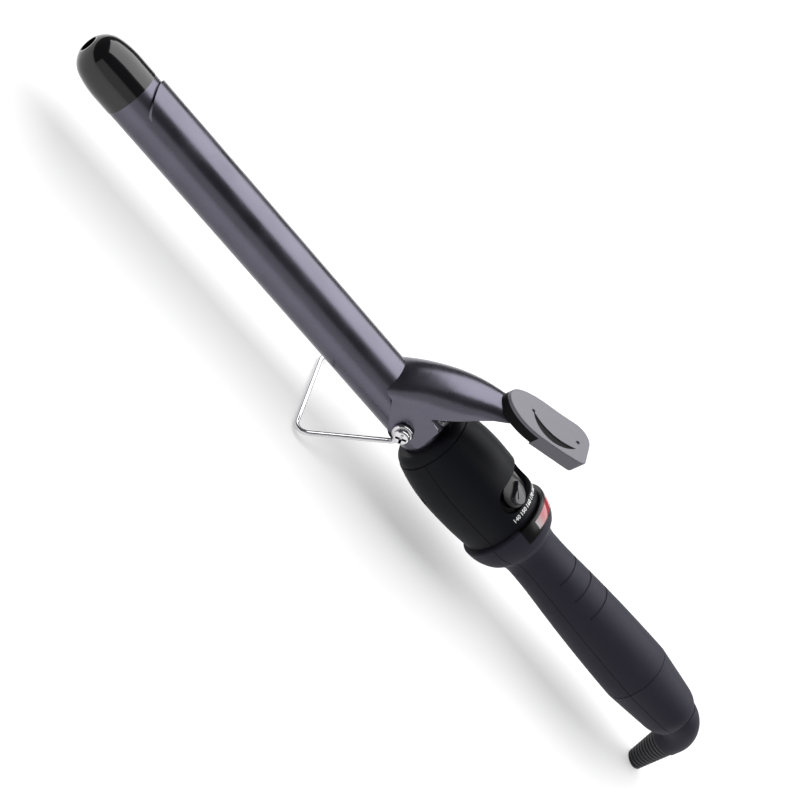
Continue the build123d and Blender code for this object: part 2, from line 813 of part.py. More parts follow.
# Plan of the pad: a half oval in front, straight sides and two corners behind, the far one rounder
with BuildSketch() as pad_plan:
    with Locations((x_hinge + pad_wide_start, 0)):
        Ellipse(pad_wide_start - pad_front, pad_half_width)
    with Locations((x_hinge + pad_wide_start, 0)):
        Rectangle(pad_wide_start, 2 * pad_half_width, align=(Align.MIN, Align.CENTER), mode=Mode.SUBTRACT)
    with Locations((x_hinge + pad_wide_start, 0)):
        Rectangle(pad_rear - pad_wide_start, 2 * pad_half_width, align=(Align.MIN, Align.CENTER))
    near_corner = pad_plan.vertices().group_by(Axis.X)[-1].sort_by(Axis.Y)[0]
    fillet(near_corner, pad_near_corner_radius)
    far_corner = pad_plan.vertices().group_by(Axis.X)[-1].sort_by(Axis.Y)[-1]
    fillet(far_corner, pad_far_corner_radius)

with BuildPart() as thumb_pad:
    add(pad_plan.sketch)
    extrude(amount=axis_height + 2 * pad_rear_height)
    add(pad_side, mode=Mode.INTERSECT)
    pad_top = max(thumb_pad.faces(), key=lambda face: face.normal_at().Z)
    fillet(pad_top.edges(), pad_edge_radius)
    add(pad_groove.part, mode=Mode.SUBTRACT)
    add(pad_seat, mode=Mode.SUBTRACT)
    with BuildSketch(pad_screw_plane.offset(-clamp_sheet)):
        Circle(pad_screw_radius)
    extrude(amount=pad_screw_length + clamp_sheet, mode=Mode.SUBTRACT)
save(thumb_pad, "thumb_pad")

# Pad inlay: dark strip in the pad's groove
with BuildPart() as pad_inlay:
    add(inlay_plan)
    extrude(amount=axis_height + 2 * pad_rear_height)
    add(inlay_top, mode=Mode.INTERSECT)
    add(inlay_floor, mode=Mode.SUBTRACT)
save(pad_inlay, "pad_inlay")

# Pad base: black packing between the lever and the front of the pad
with BuildPart() as pad_base:
    add(pad_plan.sketch)
    extrude(amount=axis_height + 2 * pad_rear_height)
    add(base_band, mode=Mode.INTERSECT)
    with BuildSketch(cross_plane(x_hinge + pad_block_front - pad_seat_clearance)):
        Rectangle(4 * pad_half_width, 4 * pad_rear_height)
    extrude(amount=pad_rear, mode=Mode.SUBTRACT)
    add(pad_seat, mode=Mode.SUBTRACT)
save(pad_base, "pad_base")

# Pad screw: from under the tongue into the pad, its head across the arch of the sheet
arch_radius = lever_tip_half_width - clamp_sheet
arch_drop = arch_radius - math.sqrt(arch_radius ** 2 - pad_screw_head_radius ** 2)
pad_screw_seat = clamp_sheet + arch_drop + seat_clearance
with BuildPart() as pad_screw:
    with BuildSketch(pad_screw_plane.offset(-pad_screw_seat)):
        Circle(pad_screw_radius)
    extrude(amount=pad_screw_length + pad_screw_seat)
    with BuildSketch(pad_screw_plane.offset(-pad_screw_seat - pad_screw_head_height)):
        Circle(pad_screw_head_radius)
    extrude(amount=pad_screw_head_height)
save(pad_screw, "pad_screw")

# Wire stand: two eyes on the hinge screws and one bent wire between them
x_hook = x_hinge + stand_hook_offset
eye_bottom = axis_height - eye_radius
hook_bottom = axis_height - stand_hook_drop
with BuildPart() as stand_wire:
    with BuildLine() as stand_line:
        FilletPolyline((x_hook, -eye_offset, eye_bottom), (x_hook, -eye_offset, hook_bottom),
                       (x_hinge - stand_forward, -stand_half_width, stand_wire_radius),
                       (x_hinge - stand_forward, stand_half_width, stand_wire_radius),
                       (x_hook, eye_offset, hook_bottom), (x_hook, eye_offset, eye_bottom),
                       radius=[stand_hook_radius, stand_corner_radius, stand_corner_radius,
                               stand_hook_radius])
    with BuildSketch(Plane(origin=stand_line.line @ 0, z_dir=stand_line.line % 0)):
        Circle(stand_wire_radius)
    sweep(path=stand_line.line)
    for side in (-1, 1):
        with Locations(Location((x_hinge, side * eye_offset, axis_height), (90, 0, 0))):
            Torus(eye_radius, stand_wire_radius)
save(stand_wire, "stand_wire")

# Front collar: ring over the barrel in front of the housing
with BuildPart() as front_collar:
    with BuildSketch(side_plane()):
        with BuildLine():
            collar_front = (x_collar, collar_front_radius)
            collar_rear = (x_housing, collar_rear_radius)
            collar_middle = (x_collar + collar_middle_position, collar_middle_radius)
            ThreePointArc(collar_front, collar_middle, collar_rear)
            Polyline(collar_rear, (x_housing, barrel_radius + seat_clearance),
                     (x_collar, barrel_radius + seat_clearance), collar_front)
        make_face()
    revolve(axis=tool_axis)
save(front_collar, "front_collar")


# Control housing
def housing_face(inset):
    """Half section of the housing under its outline, which is moved inwards by inset."""
    crown = (x_housing + housing_crown_position, housing_crown_radius - inset)
    front = (x_housing, housing_front_radius - inset)
    rear = (x_housing_end, housing_rear_radius - inset)
    with BuildSketch() as face:
        with BuildLine():
            TangentArc(crown, front, tangent=(-1, 0))
            TangentArc(crown, rear, tangent=(1, 0))
            Polyline(front, (x_housing, 0), (x_housing_end, 0), rear)
        make_face()
    return face.sketch


def revolved(face):
    """Solid of a half section turned about the tool axis."""
    with BuildPart() as solid:
        with BuildSketch(side_plane()):
            add(face)
        revolve(axis=tool_axis)
    return solid.part


def seam_groove(body, start, end):
    """Thin cut along the parting line of a pair of shells, outside the given body."""
    with BuildPart() as groove:
        with BuildSketch(side_plane()):
            with Locations(((start + end) / 2, 0)):
                Rectangle(end - start + 2 * cut_overrun, seam_width)
        extrude(amount=2 * flange_radius, both=True)
        add(body, mode=Mode.SUBTRACT)
    return groove.part


parting_plane = Plane(origin=(0, 0, axis_height), x_dir=(1, 0, 0), z_dir=(0, 0, 1))
x_dial_front = x_slot - dial_ring_half_length
x_dial_rear = x_slot + dial_ring_half_length
x_track = x_dial_rear + dial_end_gap
x_front_rib = x_dial_front - dial_end_gap - housing_rib_thickness
x_rear_rib = x_track + track_board_thickness

housing_outer = housing_face(0)
housing_cavity = housing_face(housing_wall)
housing_middle = housing_face(housing_wall / 2)
housing_limit = revolved(housing_middle)
housing_seam = seam_groove(revolved(housing_face(seam_depth)), x_housing, x_housing_end)

with BuildSketch() as housing_hollow:
    add(housing_cavity)
    with Locations((x_housing + housing_front_wall, 0)):
        Rectangle(housing_length, 2 * flange_radius, align=(Align.MIN, Align.CENTER), mode=Mode.INTERSECT)

with BuildSketch() as housing_ribs:
    with Locations((x_front_rib, housing_rib_bore), (x_rear_rib, housing_rib_bore)):
        Rectangle(housing_rib_thickness, flange_radius, align=(Align.MIN, Align.MIN))
    add(housing_middle, mode=Mode.INTERSECT)

with BuildSketch() as housing_section:
    add(housing_outer)
    add(housing_hollow.sketch, mode=Mode.SUBTRACT)
    Rectangle(2 * overall_length, 2 * (barrel_radius + seat_clearance), mode=Mode.SUBTRACT)
    add(housing_ribs.sketch)


def screw_bosses(places, limit):
    """Round posts across a pair of shells at these places, kept inside the given body."""
    with BuildPart() as bosses:
        with BuildSketch(post_plane(0, 0, 0)):
            with Locations(*places):
                Circle(shell_boss_radius)
        extrude(amount=2 * flange_radius, both=True)
        add(limit, mode=Mode.INTERSECT)
    return bosses.part


def screw_cuts(places):
    """Holes for the shell screws: a sunk head and a clear hole below, a tight hole above."""
    with BuildPart() as cuts:
        with BuildSketch(post_plane(0, 0, 0)):
            with Locations(*places):
                Circle(shell_screw_radius)
        extrude(amount=shell_screw_reach)
        with BuildSketch(post_plane(0, 0, 0)):
            with Locations(*places):
                Circle(shell_screw_radius + shell_boss_clearance)
        extrude(amount=-shell_screw_seat)
        with BuildSketch(post_plane(0, 0, -shell_screw_seat)):
            with Locations(*places):
                Circle(shell_screw_head_radius + shell_boss_clearance)
        extrude(amount=-2 * flange_radius)
    return cuts.part


def shell_screws(places):
    """The screws that go in those holes."""
    with BuildPart() as screws:
        with BuildSketch(post_plane(0, 0, -shell_screw_seat)):
            with Locations(*places):
                Circle(shell_screw_radius)
        extrude(amount=shell_screw_seat + shell_screw_reach)
        with BuildSketch(post_plane(0, 0, -shell_screw_seat)):
            with Locations(*places):
                Circle(shell_screw_head_radius)
        extrude(amount=-shell_screw_head_height)
        with BuildSketch(post_plane(0, 0, -shell_screw_seat - shell_screw_head_height)):
            with Locations(*places):
                Rectangle(screw_slot_length, screw_slot_width)
                Rectangle(screw_slot_width, screw_slot_length)
        extrude(amount=shell_screw_head_height / 2, mode=Mode.SUBTRACT)
    return screws


housing_screw_places = [(x_housing + housing_screw_position, -housing_screw_spread),
                        (x_housing + housing_screw_position, housing_screw_spread)]
housing_shell = revolved(housing_section.sketch)
housing_bosses = screw_bosses(housing_screw_places, housing_limit)
housing_screw_cuts = screw_cuts(housing_screw_places)

# Slot for the temperature slider, round at both ends, over the top of the housing
with BuildPart() as slider_slot:
    with BuildSketch(meridian_plane(-slot_straight_angle)):
        with Locations((x_slot, housing_rib_bore)):
            Rectangle(2 * slot_half_width, flange_radius, align=(Align.CENTER, Align.MIN))
    revolve(axis=tool_axis, revolution_arc=2 * slot_straight_angle)
    for end_angle in (-slot_straight_angle, slot_straight_angle):
        with BuildSketch(radial_plane(x_slot, end_angle, housing_rib_bore)):
            Circle(slot_half_width)
        extrude(amount=flange_radius)

with BuildPart() as housing_upper:
    add(housing_shell)
    add(housing_bosses)
    split(bisect_by=parting_plane, keep=Keep.TOP)
    add(housing_screw_cuts, mode=Mode.SUBTRACT)
    add(housing_seam, mode=Mode.SUBTRACT)
    add(slider_slot.part, mode=Mode.SUBTRACT)
save(housing_upper, "housing_upper")

with BuildPart() as housing_lower:
    add(housing_shell)
    add(housing_bosses)
    split(bisect_by=parting_plane, keep=Keep.BOTTOM)
    add(housing_screw_cuts, mode=Mode.SUBTRACT)
    add(housing_seam, mode=Mode.SUBTRACT)
save(housing_lower, "housing_lower")

housing_screws = shell_screws(housing_screw_places)
save(housing_screws, "housing_screws")

# Temperature control: a ring that turns on a fixed sleeve, with a slider block and a knob on top of it
with BuildPart() as dial_carrier:
    with BuildSketch(cross_plane(x_dial_front - dial_end_gap)):
        Circle(dial_ring_inner - running_clearance)
        Circle(dial_ring_inner - running_clearance - dial_carrier_wall, mode=Mode.SUBTRACT)
    extrude(amount=x_track - x_dial_front + dial_end_gap)
save(dial_carrier, "dial_carrier")

with BuildPart() as track_board:
    with BuildSketch(cross_plane(x_track)):
        Circle(track_board_radius)
        Circle(housing_rib_bore, mode=Mode.SUBTRACT)
    extrude(amount=track_board_thickness)
save(track_board, "track_board")

with BuildPart() as slider_block:
    with BuildSketch(radial_plane(x_slot, slider_rest_angle, dial_ring_inner)):
        RectangleRounded(2 * slider_half_size, 2 * slider_half_size, slider_corner_radius)
    extrude(amount=flange_radius)
    with BuildSketch(cross_plane(x_slot)):
        Circle(slider_top_radius)
        Circle(dial_ring_inner, mode=Mode.SUBTRACT)
    extrude(amount=dial_ring_half_length, both=True, mode=Mode.INTERSECT)

with BuildPart() as temperature_ring:
    with BuildSketch(cross_plane(x_dial_front)):
        Circle(dial_ring_outer)
        Circle(dial_ring_inner, mode=Mode.SUBTRACT)
    extrude(amount=2 * dial_ring_half_length)
    add(slider_block.part)
save(temperature_ring, "temperature_ring")

# Temperature knob: a drop set aslant on the slider, with a slit along it
knob_plane = radial_plane(x_slot, slider_rest_angle, dial_ring_inner).rotated((0, 0, knob_turn))
slit_floor = knob_top_radius - knob_slit_depth
slit_plane = radial_plane(x_slot, slider_rest_angle, slit_floor).rotated((0, 0, knob_turn))
knob_reach = knob_tip_reach + knob_tail_reach - knob_tail_radius
knob_flank = math.sqrt(knob_reach ** 2 - knob_tail_radius ** 2)
flank_side = knob_flank * knob_tail_radius / knob_reach
flank_end = knob_tip_reach - knob_flank ** 2 / knob_reach
with BuildPart() as temperature_knob:
    with BuildSketch(knob_plane):
        with BuildLine():
            Polyline((flank_side, flank_end), (0, knob_tip_reach), (-flank_side, flank_end))
            ThreePointArc((-flank_side, flank_end), (0, -knob_tail_reach), (flank_side, flank_end))
        make_face()
    extrude(amount=flange_radius)
    with BuildSketch(cross_plane(x_slot)):
        Circle(knob_top_radius)
        Circle(slider_top_radius, mode=Mode.SUBTRACT)
    extrude(amount=dial_ring_half_length, both=True, mode=Mode.INTERSECT)
    fillet(temperature_knob.faces().sort_by_distance((x_slot, 0, axis_height))[-1].edges(), knob_edge_radius)
    with BuildSketch(slit_plane):
        Rectangle(knob_slit_width, 2 * knob_tail_radius)
    extrude(amount=knob_top_radius, mode=Mode.SUBTRACT)
save(temperature_knob, "temperature_knob")

with BuildPart() as wiper_contact:
    with BuildSketch(meridian_plane(slider_rest_angle - wiper_half_angle)):
        with Locations((x_dial_rear, (dial_ring_inner + track_board_radius) / 2)):
            Rectangle(wiper_thickness, track_board_radius - dial_ring_inner, align=(Align.MIN, Align.CENTER))
    revolve(axis=tool_axis, revolution_arc=2 * wiper_half_angle)
save(wiper_contact, "wiper_contact")


# Grip
def grip_face(inset):
    """Half section of the grip under its outline, which is moved inwards by inset."""
    edge_low = (x_grip, flange_radius - flange_edge - inset)
    edge_top = (x_grip + flange_edge, flange_radius - inset)
    shoulder = (x_grip + shoulder_position, shoulder_radius - inset)
    slope_end = (x_grip + slope_end_position, slope_end_radius - inset)
    neck = (x_grip + neck_position, neck_radius - inset)
    palm = (x_grip + palm_position, palm_radius - inset)
    end = (x_grip_end, grip_end_radius - inset)
    with BuildSketch() as face:
        with BuildLine():
            TangentArc(edge_top, edge_low, tangent=(-1, 0))
            TangentArc(edge_top, shoulder, tangent=(1, 0))
            Line(shoulder, slope_end)
            TangentArc(neck, slope_end, tangent=(-1, 0))
            rise = TangentArc(neck, palm, tangent=(1, 0))
            TangentArc(palm, end, tangent=rise % 1)
            Polyline(edge_low, (x_grip, 0), (x_grip_end, 0), end)
        make_face()
    return face.sketch


def grip_sector(top, floor, start, length, half_angle):
    """Piece of the skin of the grip between two insets, over a length and either side of the top."""
    upper = grip_face(top)
    lower = grip_face(floor)
    with BuildPart() as sector:
        with BuildSketch(meridian_plane(-half_angle)):
            add(upper)
            add(lower, mode=Mode.SUBTRACT)
            with Locations((x_grip + start, 0)):
                Rectangle(length, 2 * flange_radius, align=(Align.MIN, Align.CENTER), mode=Mode.INTERSECT)
        revolve(axis=tool_axis, revolution_arc=2 * half_angle)
    return sector.part


grip_outer = grip_face(0)
grip_cavity = grip_face(grip_wall)
grip_limit = revolved(grip_face(grip_wall / 2))
grip_seam = seam_groove(revolved(grip_face(seam_depth)), x_grip, x_grip_end)
grip_spigot_radius = housing_rear_radius - housing_wall - seat_clearance

with BuildSketch() as grip_hollow:
    add(grip_cavity)
    with Locations((x_grip + grip_front_wall, 0)):
        Rectangle(grip_length, 2 * flange_radius, align=(Align.MIN, Align.CENTER), mode=Mode.INTERSECT)

with BuildSketch() as grip_section:
    add(grip_outer)
    add(grip_hollow.sketch, mode=Mode.SUBTRACT)
    Rectangle(2 * overall_length, 2 * grip_front_bore, mode=Mode.SUBTRACT)
    with Locations((x_housing_end - grip_spigot_length, grip_spigot_radius)):
        Rectangle(grip_spigot_length + joint_gap + grip_front_wall, grip_spigot_wall,
                  align=(Align.MIN, Align.MAX))

grip_screw_places = [(x_grip + position, 0) for position in grip_screw_positions]
grip_shell = revolved(grip_section.sketch)
grip_bosses = screw_bosses(grip_screw_places, grip_limit)
grip_screw_cuts = screw_cuts(grip_screw_places)
window_pocket = grip_sector(-cut_overrun, window_depth, 0, window_length, window_half_angle)
grip_grooves = [grip_sector(-cut_overrun, groove_depth, position - groove_width / 2, groove_width,
                            groove_half_angle)
                for position in groove_positions]
led_plane = radial_plane(x_grip + lens_front + lens_length / 2, 0, flange_radius - lens_depth - led_length)

with BuildPart() as board_posts:
    with BuildSketch(post_plane(0, 0, -board_thickness / 2)):
        with Locations(*[(x_grip + position, 0) for position in board_post_positions]):
            Circle(board_post_radius)
    extrude(amount=-2 * flange_radius)
    add(grip_limit, mode=Mode.INTERSECT)

with BuildPart() as grip_upper:
    add(grip_shell)
    add(grip_bosses)
    split(bisect_by=parting_plane, keep=Keep.TOP)
    add(grip_screw_cuts, mode=Mode.SUBTRACT)
    add(grip_seam, mode=Mode.SUBTRACT)
    add(window_pocket, mode=Mode.SUBTRACT)
    for groove in grip_grooves:
        add(groove, mode=Mode.SUBTRACT)
    with BuildSketch(led_plane):
        Circle(led_radius)
    extrude(amount=2 * led_length, mode=Mode.SUBTRACT)
save(grip_upper, "grip_upper")

with BuildPart() as grip_lower:
    add(grip_shell)
    add(grip_bosses)
    split(bisect_by=parting_plane, keep=Keep.BOTTOM)
    add(board_posts.part)
    add(grip_screw_cuts, mode=Mode.SUBTRACT)
    add(grip_seam, mode=Mode.SUBTRACT)
save(grip_lower, "grip_lower")

grip_screws = shell_screws(grip_screw_places)
save(grip_screws, "grip_screws")

# Indicator: a black frame let into the grip, a lens in the frame and a lamp under the lens
lens_pocket = grip_sector(-cut_overrun, lens_depth, lens_front, lens_length, lens_half_angle)
window_body = grip_sector(0, window_depth, 0, window_length, window_half_angle)
lens_body = grip_sector(0, lens_depth, lens_front, lens_length, lens_half_angle)
with BuildPart() as lens_frame:
    add(window_body)
    add(lens_pocket, mode=Mode.SUBTRACT)
    with BuildSketch(led_plane):
        Circle(led_radius)
    extrude(amount=2 * led_length, mode=Mode.SUBTRACT)
save(lens_frame, "lens_frame")

with BuildPart() as indicator_lens:
    add(lens_body)
save(indicator_lens, "indicator_lens")

with BuildPart() as indicator_led:
    with BuildSketch(led_plane):
        Circle(led_radius)
    extrude(amount=led_length)
    add(lens_body, mode=Mode.SUBTRACT)
save(indicator_led, "indicator_led")

# Circuit board on two posts, with its parts and wires
x_board = x_grip + board_front
x_board_end = x_board + board_length
with BuildPart() as circuit_board:
    with BuildSketch(post_plane(x_board, 0, -board_thickness / 2)):
        Rectangle(board_length, board_width, align=(Align.MIN, Align.CENTER))
    extrude(amount=board_thickness)
save(circuit_board, "circuit_board")

with BuildPart() as board_parts:
    with BuildSketch(post_plane(x_board, 0, board_thickness / 2)):
        with Locations((regulator_position, 0)):
            Rectangle(regulator_size[0], regulator_size[1])
    extrude(amount=regulator_size[2])
    with BuildSketch(post_plane(x_board, 0, board_thickness / 2)):
        with Locations((capacitor_position, -capacitor_spread), (capacitor_position, capacitor_spread)):
            Circle(capacitor_radius)
    extrude(amount=capacitor_height)
    with BuildSketch(post_plane(x_board, 0, board_thickness / 2)):
        with Locations((driver_position, 0)):
            Rectangle(driver_size[0], driver_size[1])
    extrude(amount=driver_size[2])
save(board_parts, "board_parts")

lead_height = board_thickness / 2 + lead_radius
with BuildPart() as heater_leads:
    with BuildSketch(cross_plane(x_heater_end)):
        with Locations((-lead_spread, lead_height), (lead_spread, lead_height)):
            Circle(lead_radius)
    extrude(amount=x_board + lead_overlap - x_heater_end)
save(heater_leads, "heater_leads")

x_brush_board = x_end_cap + brush_rib_position + brush_rib_thickness
with BuildPart() as supply_wires:
    with BuildSketch(cross_plane(x_board_end - lead_overlap)):
        with Locations((-lead_spread, lead_height), (lead_spread, lead_height)):
            Circle(lead_radius)
    extrude(amount=x_brush_board - x_board_end + lead_overlap)
save(supply_wires, "supply_wires")


# End cap
def end_cap_face(inset):
    """Half section of the end cap under its outline, which is moved inwards by inset."""
    front = (x_end_cap, end_cap_front_radius - inset)
    middle = (x_grip_end + end_cap_middle_position, end_cap_middle_radius - inset)
    shoulder = (x_grip_end + end_cap_shoulder_position, end_cap_shoulder_radius - inset)
    rear = (x_end_cap_end, end_cap_rear_radius - inset)
    with BuildSketch() as face:
        with BuildLine():
            taper = ThreePointArc(front, middle, shoulder)
            TangentArc(shoulder, rear, tangent=taper % 1)
            Polyline(rear, (x_end_cap_end, 0), (x_end_cap, 0), front)
        make_face()
    return face.sketch


end_cap_outer = end_cap_face(0)
end_cap_middle = end_cap_face(end_cap_wall / 2)
end_cap_cavity = end_cap_face(end_cap_wall)
end_cap_seam = seam_groove(revolved(end_cap_face(seam_depth)), x_end_cap, x_end_cap_end)
tongue_radius = grip_end_radius - grip_wall - seat_clearance
brush_rib_gap = brush_rib_thickness + brush_board_thickness

with BuildSketch() as end_cap_hollow:
    add(end_cap_cavity)
    with Locations((x_end_cap, 0)):
        Rectangle(end_cap_length - end_cap_gap - end_cap_rear_wall, 2 * flange_radius,
                  align=(Align.MIN, Align.CENTER), mode=Mode.INTERSECT)

with BuildSketch() as end_cap_ribs:
    with Locations((x_end_cap + brush_rib_position, brush_rib_bore),
                   (x_end_cap + brush_rib_position + brush_rib_gap, brush_rib_bore)):
        Rectangle(brush_rib_thickness, flange_radius, align=(Align.MIN, Align.MIN))
    add(end_cap_middle, mode=Mode.INTERSECT)

with BuildSketch() as end_cap_section:
    add(end_cap_outer)
    add(end_cap_hollow.sketch, mode=Mode.SUBTRACT)
    Rectangle(2 * overall_length, 2 * (swivel_shaft_radius + running_clearance), mode=Mode.SUBTRACT)
    add(end_cap_ribs.sketch)
    with Locations((x_end_cap - end_cap_gap - end_cap_tongue_length, tongue_radius)):
        Rectangle(end_cap_tongue_length + end_cap_gap + brush_rib_position, end_cap_tongue_wall,
                  align=(Align.MIN, Align.MAX))

end_cap_shell = revolved(end_cap_section.sketch)
with BuildPart() as end_cap_upper:
    add(end_cap_shell)
    split(bisect_by=parting_plane, keep=Keep.TOP)
    add(end_cap_seam, mode=Mode.SUBTRACT)
save(end_cap_upper, "end_cap_upper")

with BuildPart() as end_cap_lower:
    add(end_cap_shell)
    split(bisect_by=parting_plane, keep=Keep.BOTTOM)
    add(end_cap_seam, mode=Mode.SUBTRACT)
save(end_cap_lower, "end_cap_lower")

# Brush board between the ribs of the end cap, with two brushes beside the slip rings
x_swivel_flange = x_end_cap_end - end_cap_rear_wall - swivel_gap - swivel_flange_length
x_shaft = x_end_cap_end - swivel_shaft_length
with BuildPart() as brush_board:
    with BuildSketch(cross_plane(x_brush_board)):
        Circle(end_cap_shoulder_radius - end_cap_wall)
        Circle(swivel_shaft_radius, mode=Mode.SUBTRACT)
    extrude(amount=brush_board_thickness)
save(brush_board, "brush_board")

with BuildPart() as contact_brushes:
    for side, position in ((1, slip_ring_positions[0]), (-1, slip_ring_positions[1])):
        with BuildSketch(cross_plane(x_brush_board + brush_board_thickness)):
            with Locations((0, side * (slip_ring_radius + brush_gap + brush_thickness / 2))):
                Rectangle(brush_width, brush_thickness)
        extrude(amount=x_shaft + position + slip_ring_length - x_brush_board - brush_board_thickness)
save(contact_brushes, "contact_brushes")


# Swivel outlet: a shaft in the end cap and an elbow that turns down to the cord
def elbow_place(turn):
    """Plane across the elbow after this turn of its bend, with the radius there."""
    radius = elbow_radius + (elbow_end_radius - elbow_radius) * turn / elbow_turn
    reach = elbow_outer_radius - radius
    angle = math.radians(turn)
    origin = (x_bend + reach * math.sin(angle), 0, axis_height - elbow_drop + reach * math.cos(angle))
    return Plane(origin=origin, x_dir=(0, 1, 0), z_dir=(math.cos(angle), 0, -math.sin(angle))), radius


elbow_end_plane, elbow_last_radius = elbow_place(elbow_turn)
boss_plane = elbow_end_plane.offset(elbow_boss_length)
x_swivel = x_end_cap_end + swivel_gap
with BuildPart() as elbow:
    for turn in (0, elbow_turn / 3, elbow_turn * 2 / 3, elbow_turn):
        bend_plane, bend_radius = elbow_place(turn)
        with BuildSketch(bend_plane):
            Circle(bend_radius)
    loft()
    with BuildSketch(elbow_end_plane):
        Circle(elbow_last_radius)
    with BuildSketch(boss_plane):
        Circle(elbow_boss_radius)
    loft()
    split(bisect_by=cross_plane(x_swivel), keep=Keep.TOP)

relief_direction = boss_plane.z_dir
relief_rise = (boss_plane.origin.Z - axis_height) / relief_direction.Z
with BuildPart() as swivel_head:
    add(elbow.part)
    with BuildSketch(cross_plane(x_shaft)):
        Circle(swivel_shaft_radius)
    extrude(amount=x_swivel - x_shaft + cut_overrun)
    with BuildSketch(cross_plane(x_swivel_flange)):
        Circle(swivel_flange_radius)
    extrude(amount=swivel_flange_length)
    with BuildSketch(boss_plane):
        Circle(relief_plug_radius + seat_clearance)
    extrude(amount=-relief_plug_length, mode=Mode.SUBTRACT)
    with BuildSketch(boss_plane):
        Circle(swivel_shaft_bore)
    extrude(amount=-relief_rise, mode=Mode.SUBTRACT)
    with BuildSketch(cross_plane(x_shaft)):
        Circle(swivel_shaft_bore)
    extrude(amount=boss_plane.origin.X - relief_direction.X * relief_rise - x_shaft, mode=Mode.SUBTRACT)
save(swivel_head, "swivel_head")

with BuildPart() as slip_rings:
    for position in slip_ring_positions:
        with BuildSketch(cross_plane(x_shaft + position)):
            Circle(slip_ring_radius)
            Circle(swivel_shaft_radius, mode=Mode.SUBTRACT)
        extrude(amount=slip_ring_length)
save(slip_rings, "slip_rings")

# Strain relief: ribbed sleeve that leans back a little and is cut level with the stand
relief_plane = Plane(origin=boss_plane.origin, x_dir=relief_direction, z_dir=(0, -1, 0))
relief_length = -boss_plane.origin.Z / relief_direction.Z
rib_count = math.ceil(relief_length / relief_rib_pitch) + 1
with BuildPart() as strain_relief:
    with BuildSketch(relief_plane):
        relief_points = [(-relief_plug_length, cord_bore_radius), (-relief_plug_length, relief_plug_radius),
                         (0, relief_plug_radius)]
        for rib in range(rib_count):
            rib_start = rib * relief_rib_pitch
            rib_radius = relief_root_radius + (relief_tip_radius - relief_root_radius) * rib / rib_count
            rib_end = rib_start + relief_rib_pitch * relief_rib_share
            relief_points += [(rib_start, rib_radius), (rib_end, rib_radius),
                              (rib_end, rib_radius - relief_groove_depth),
                              (rib_start + relief_rib_pitch, rib_radius - relief_groove_depth)]
        relief_points.append((rib_count * relief_rib_pitch, cord_bore_radius))
        Polygon(*relief_points, align=None)
    revolve(axis=Axis(boss_plane.origin, relief_direction))
    with BuildSketch(Plane.XY):
        with Locations((boss_plane.origin.X, 0)):
            Rectangle(4 * relief_root_radius, 4 * relief_root_radius)
    extrude(amount=-axis_height, mode=Mode.SUBTRACT)
save(strain_relief, "strain_relief")
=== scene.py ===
import json
import math

import bpy
from mathutils import Matrix, Vector


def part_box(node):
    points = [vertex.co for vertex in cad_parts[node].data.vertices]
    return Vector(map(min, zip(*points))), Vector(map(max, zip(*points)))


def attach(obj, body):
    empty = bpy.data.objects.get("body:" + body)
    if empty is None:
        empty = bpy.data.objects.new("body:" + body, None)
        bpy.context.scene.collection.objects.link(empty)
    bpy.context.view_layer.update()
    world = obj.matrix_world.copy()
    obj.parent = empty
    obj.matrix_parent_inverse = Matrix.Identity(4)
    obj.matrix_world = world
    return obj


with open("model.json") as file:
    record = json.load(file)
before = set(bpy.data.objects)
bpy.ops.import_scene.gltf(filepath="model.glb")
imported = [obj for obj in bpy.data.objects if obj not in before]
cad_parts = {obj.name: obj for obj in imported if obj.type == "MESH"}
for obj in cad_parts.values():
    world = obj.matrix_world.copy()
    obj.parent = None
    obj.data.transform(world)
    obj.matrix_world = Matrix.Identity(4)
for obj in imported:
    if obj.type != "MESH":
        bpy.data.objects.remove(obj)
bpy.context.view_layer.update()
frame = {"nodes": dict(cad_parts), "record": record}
nodes = frame["nodes"]
scene = bpy.context.scene
scene.view_settings.view_transform = "Standard"

MM = 0.001

# Camera: the viewing angle of the photograph, in degrees, with the image taken as 800 pixels square
camera_azimuth = 27.67
camera_elevation = 30.85
camera_roll = 63.99
camera_distance = 965.3 * MM
camera_lens = 112.5
camera_sensor = 36.0
camera_reach = 184.1 * MM
camera_aside = 0.17 * MM
camera_rise = 0.26 * MM
camera_clip = 10 * MM

# Places read from the frame
axis_height = sum(corner.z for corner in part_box("barrel")) / 2
housing_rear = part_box("housing_upper")[1].x
lens_half_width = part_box("indicator_lens")[1].y
tip_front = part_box("tip_cap")[0].x
camera_target = Vector((tip_front + camera_reach, camera_aside, axis_height + camera_rise))

# Materials: noise mostly runs between these two values
noise_low = 0.3
noise_high = 0.7

# Painted shade in recesses: how open a recess is where the painted shade is darkest and where it ends, and
# its colour
painted_shade_closed = 0.5
painted_shade_open = 0.9
painted_shade_colour = (0.02, 0.02, 0.022, 1)

# Window lens: shares of its half width where the red starts to turn into a painted highlight and where the
# painted highlight is full
lens_red_end = 0.5
lens_highlight_full = 0.95
lens_red = (0.36, 0.02, 0.035, 1)
lens_painted_highlight = (0.34, 0.3, 0.31, 1)
lens_wear_scale = 200.0
lens_roughness = (0.12, 0.2)
lens_coat = 0.3


def new_material(name):
    """A fresh node material with its shader, and the object's own coordinates."""
    material = bpy.data.materials.new(name)
    material.use_nodes = True
    tree = material.node_tree
    shader = tree.nodes["Principled BSDF"]
    place = tree.nodes.new("ShaderNodeTexCoord")
    return material, tree, shader, place.outputs["Object"]


